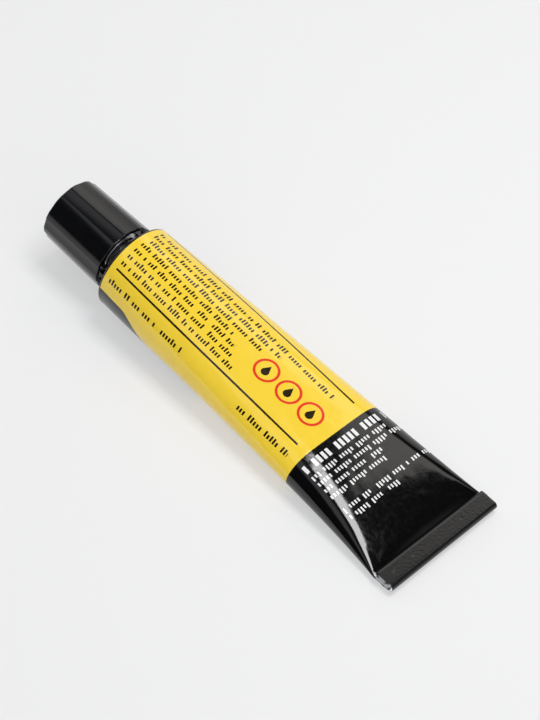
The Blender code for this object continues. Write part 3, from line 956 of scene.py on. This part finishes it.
# Screw cap: one moulding in glossy black polypropylene. Eleven hollow flutes with narrow lands give
# the grip, the open rim is scalloped by them, and the closed end has a recess with a piercing spike.
CAP_RIM = 3.467
CAP_OPEN_RADIUS = 7.5
CAP_END_RADIUS = 7.1
CAP_MOUTH_WALL = 0.65
CAP_MOUTH_DEPTH = 1.2
CAP_FLOOR = LINER_START + LINER_THICKNESS + FIT_GAP
CAP_WEB = 1.2
RECESS_RADIUS = 3.8
SPIKE_RADIUS = 1.4
SPIKE_BELOW_END = 0.6
FLUTES = 11
FLUTE_DEPTH = 0.18
LAND_ANGLE = 13.0
LAND_PHASE = -6.3
FLUTES_FADE_IN = 0.4
CAP_MOUTH_RADIUS = CAP_OPEN_RADIUS - FLUTE_DEPTH - CAP_MOUTH_WALL
COLUMNS_A_FLUTE = 24
PLASTIC_DARK = (0.0025, 0.0026, 0.0030, 1.0)
PLASTIC_LIGHT = (0.0050, 0.0052, 0.0058, 1.0)
PLASTIC_ROUGHNESS = (0.12, 0.18)


def black_plastic_material():
    material, tree, shader = new_material("black_polypropylene")
    place = add(tree, "ShaderNodeTexCoord").outputs["Object"]
    cloud = cloudy(tree, place, 220.0, 3.0)
    tree.links.new(mixed(tree, cloud, PLASTIC_DARK, PLASTIC_LIGHT), shader.inputs["Base Color"])
    grain = cloudy(tree, place, 2600.0, 3.0)
    tree.links.new(ranged(tree, grain, *PLASTIC_ROUGHNESS), shader.inputs["Roughness"])
    relief(tree, shader, grain, 0.12, 0.02 * MM)
    return material


plastic = black_plastic_material()
recess_floor = CAP_FLOOR + CAP_WEB
pitch_degrees = 360 / FLUTES
cap = grown("fluted_cap", turned, turned_profile([
    (CAP_END - SPIKE_BELOW_END, 0.0, 0),
    (recess_floor, SPIKE_RADIUS, 0.15),
    (recess_floor, RECESS_RADIUS, 0.25),
    (CAP_END, RECESS_RADIUS, 0.2),
    (CAP_END, CAP_END_RADIUS, 0.38),
    (CAP_RIM, CAP_OPEN_RADIUS, 0.22),
    (CAP_RIM, CAP_MOUTH_RADIUS, 0.12),
    (CAP_RIM + CAP_MOUTH_DEPTH, CAP_MOUTH_RADIUS, 0),
    (CAP_RIM + CAP_MOUTH_DEPTH, CAP_THREAD_ROOT, 0.1),
    (CAP_FLOOR, CAP_THREAD_ROOT, 0.25),
    (CAP_FLOOR, 0.0, 0),
]), {
    "Columns": FLUTES * COLUMNS_A_FLUTE, "Flutes": float(FLUTES), "Flute Depth": FLUTE_DEPTH,
    "Land Share": LAND_ANGLE / pitch_degrees, "Phase": (LAND_PHASE - LAND_ANGLE / 2) / 360,
    "Fluted From": CAP_MOUTH_RADIUS, "Fade In": FLUTES_FADE_IN, "Material": plastic,
})
cap_ridge = ridge_profile(THREAD_ROOT - THREAD_CREST, RIDGE_BURIED)
cap_thread = grown("cap_thread", wound, cap_ridge, {
    "Root Radius": CAP_THREAD_ROOT, "Pitch": PITCH, "Turns": THREAD_TURNS, "Run Out": RUN_OUT,
    "First": NECK_THREAD_FIRST + PITCH / 2, "Points": thread_points, "Material": plastic,
})
for moulded in (cap, cap_thread):
    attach(moulded, "screw_cap")
    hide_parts("cap")


# Studio: a plain pale floor in a dim room with pale walls low down. Broad soft panels stand in front,
# behind, at both sides and above, and one softbox hangs over the tail. A panel's edge is a direction
# in the picture, with the part of it at which the panel starts and the part at which it is full.
FLOOR_SIZE = 30.0
FLOOR_COLOUR = (0.86, 0.86, 0.86, 1.0)
FLOOR_GLOW = 0.55
FLOOR_ROUGHNESS = 0.9
ROOM_COLOUR = (0.012, 0.012, 0.014, 1.0)
WALL_COLOUR = (0.84, 0.86, 0.88, 1.0)
FRONT_LIGHT = (1.20, 1.22, 1.26, 1.0)
LEFT_LIGHT = (1.26, 1.34, 1.46, 1.0)
RIGHT_LIGHT = (0.30, 0.30, 0.29, 1.0)
BACK_LIGHT = (1.42, 1.38, 1.33, 1.0)
OVERHEAD_LIGHT = (0.65, 0.66, 0.68, 1.0)
WALL_EDGES = (("up", 0.26, 0.08), ("far", 0.1, 0.4))
FRONT_EDGES = (("near", 0.30, 0.45), ("left", 0.60, 0.42))
LEFT_EDGES = (("left", 0.45, 0.60), ("far", 0.15, 0.30))
RIGHT_EDGES = (("right", 0.58, 0.75), ("far", 0.25, 0.05))
OVERHEAD_EDGES = (("left", 0.12, 0.30), ("left", 0.62, 0.50), ("up", 0.78, 0.86))
# The back panel rises softly, but at once in its right corner, and ends on a slant, dimmed beyond
BACK_RISE = ("far", 0.42, 0.60)
BACK_CORNER = ("steep", 0.985, 1.005)
BACK_CORNER_SLOPE = 2.0
BACK_FOOT = ("far", 0.320, 0.331)
BACK_END = ("slanted", 1.24, 1.14)
BACK_END_SLOPE = 1.34
BACK_DIMMED = ("far", 0.70, 0.80)
BACK_DIMMED_SHARE = 0.55
BACK_LEFT_END = ("right", -0.12, 0.02)
SOFTBOX_HEIGHT = 0.5
SOFTBOX_FROM = (-0.20, -0.19)
SOFTBOX_TO = (0.036, 0.0)
SOFTBOX_RADIANCE = 11.0
picture_right = Vector((-0.696, -0.717, 0.0)).normalized()
picture_depth = Vector((0.68, -0.73, 0.0)).normalized()


def studio_floor():
    bm = bmesh.new()
    bmesh.ops.create_grid(bm, x_segments=1, y_segments=1, size=FLOOR_SIZE / 2)
    mesh = bpy.data.meshes.new("floor")
    bm.to_mesh(mesh)
    bm.free()
    material, tree, shader = new_material("pale_floor")
    shader.inputs["Base Color"].default_value = FLOOR_COLOUR
    shader.inputs["Roughness"].default_value = FLOOR_ROUGHNESS
    shader.inputs["Specular IOR Level"].default_value = 0.0
    glow = add(tree, "ShaderNodeEmission", FLOOR_COLOUR, 1.0)
    rays = add(tree, "ShaderNodeLightPath").outputs
    mirrored = either(tree, rays["Is Glossy Ray"], rays["Is Transmission Ray"])
    seen = either(tree, rays["Is Camera Ray"], mirrored)
    share = both(tree, seen, FLOOR_GLOW)
    blend = add(tree, "ShaderNodeMixShader", share, shader.outputs[0], glow.outputs[0])
    tree.links.new(blend.outputs[0], tree.nodes["Material Output"].inputs["Surface"])
    mesh.materials.append(material)
    floor = placed("floor", mesh)


def soft_step(tree, value, low, high):
    """0 below low, 1 above high and a smooth rise between."""
    step = add(tree, "ShaderNodeMapRange", value, low, high, 0.0, 1.0, interpolation_type="SMOOTHSTEP")
    return step.outputs[0]


def panel(tree, look, *edges):
    """Where a soft panel stands in the sky: inside all of its edges."""
    share = 1.0
    for direction, start, full in edges:
        share = both(tree, share, soft_step(tree, look[direction], start, full))
    return share


def studio_room():
    """World light: pale low down, dim above, with soft panels given by their part of the sky."""
    world = bpy.data.worlds.new("room")
    bpy.context.scene.world = world
    world.use_nodes = True
    tree = world.node_tree
    gaze = add(tree, "ShaderNodeTexCoord").outputs["Generated"]
    look = {"up": add(tree, "ShaderNodeSeparateXYZ", gaze).outputs[2]}
    for name, direction in (("right", picture_right), ("far", picture_depth)):
        part = add(tree, "ShaderNodeVectorMath", gaze, direction, operation="DOT_PRODUCT")
        look[name] = part.outputs["Value"]
    look["left"] = calc(tree, "MULTIPLY", look["right"], -1.0)
    look["near"] = calc(tree, "MULTIPLY", look["far"], -1.0)
    look["steep"] = calc(tree, "MULTIPLY_ADD", look["right"], BACK_CORNER_SLOPE, look["far"])
    look["slanted"] = calc(tree, "MULTIPLY_ADD", look["right"], BACK_END_SLOPE, look["far"])

    back = either(tree, panel(tree, look, BACK_RISE), panel(tree, look, BACK_CORNER))
    back = both(tree, back, panel(tree, look, BACK_FOOT))
    dimmed = both(tree, panel(tree, look, BACK_DIMMED), BACK_DIMMED_SHARE)
    back = both(tree, back, either(tree, panel(tree, look, BACK_END), dimmed))
    back = both(tree, back, panel(tree, look, BACK_LEFT_END))
    sky = mixed(tree, back, ROOM_COLOUR, BACK_LIGHT)
    for edges, light in (
        (RIGHT_EDGES, RIGHT_LIGHT),
        (LEFT_EDGES, LEFT_LIGHT),
        (FRONT_EDGES, FRONT_LIGHT),
        (OVERHEAD_EDGES, OVERHEAD_LIGHT),
        (WALL_EDGES, WALL_COLOUR),
    ):
        sky = mixed(tree, panel(tree, look, *edges), sky, light)
    tree.links.new(sky, tree.nodes["Background"].inputs["Color"])


def softbox():
    light = bpy.data.lights.new("softbox", "AREA")
    light.shape = "RECTANGLE"
    light.size = SOFTBOX_TO[0] - SOFTBOX_FROM[0]
    light.size_y = SOFTBOX_TO[1] - SOFTBOX_FROM[1]
    light.energy = SOFTBOX_RADIANCE * math.pi * light.size * light.size_y
    holder = placed("softbox", light)
    middle = [(low + high) / 2 for low, high in zip(SOFTBOX_FROM, SOFTBOX_TO)]
    holder.location = (middle[0], middle[1], SOFTBOX_HEIGHT)
    holder.visible_camera = False


studio_floor()
studio_room()
softbox()


# Camera: the photograph's view, a long lens from the tail's left, high above the table. The place is
# in metres from the point that it was aimed at, and the aim is where the picture's middle falls.
AIMED_FROM = Vector((0.0, 0.0, 0.006))
CAMERA_DISTANCE = 0.667784
CAMERA_AZIMUTH = math.radians(222.946)
CAMERA_ELEVATION = math.radians(49.588)
CAMERA_ROLL = math.radians(3.843)
FOCAL_PIXELS = 3425.133
PICTURE = (540, 720)
AIM_PIXEL = (251.158, 374.598)
SENSOR = 36.0
back = Vector((
    math.sin(CAMERA_AZIMUTH) * math.cos(CAMERA_ELEVATION),
    -math.cos(CAMERA_AZIMUTH) * math.cos(CAMERA_ELEVATION),
    math.sin(CAMERA_ELEVATION),
))
level_right = Vector((math.cos(CAMERA_AZIMUTH), math.sin(CAMERA_AZIMUTH), 0.0))
level_up = back.cross(level_right)
right = math.cos(CAMERA_ROLL) * level_right + math.sin(CAMERA_ROLL) * level_up
up = math.cos(CAMERA_ROLL) * level_up - math.sin(CAMERA_ROLL) * level_right
off_right = (PICTURE[0] / 2 - AIM_PIXEL[0]) / FOCAL_PIXELS
off_down = (PICTURE[1] / 2 - AIM_PIXEL[1]) / FOCAL_PIXELS
aim = (-back + right * off_right - up * off_down).normalized()
aim_right = (right - aim * right.dot(aim)).normalized()
aim_up = aim_right.cross(aim)
lens = bpy.data.cameras.new("photograph_view")
lens.sensor_width = SENSOR
lens.lens = FOCAL_PIXELS * SENSOR / max(PICTURE)
lens.clip_start = 0.05
lens.clip_end = 60.0
camera = placed("photograph_view", lens)
turn = Matrix((aim_right, aim_up, -aim)).transposed()
camera.matrix_world = Matrix.Translation(AIMED_FROM + back * CAMERA_DISTANCE) @ turn.to_4x4()
bpy.context.scene.camera = camera
bpy.context.scene.view_settings.view_transform = "Standard"
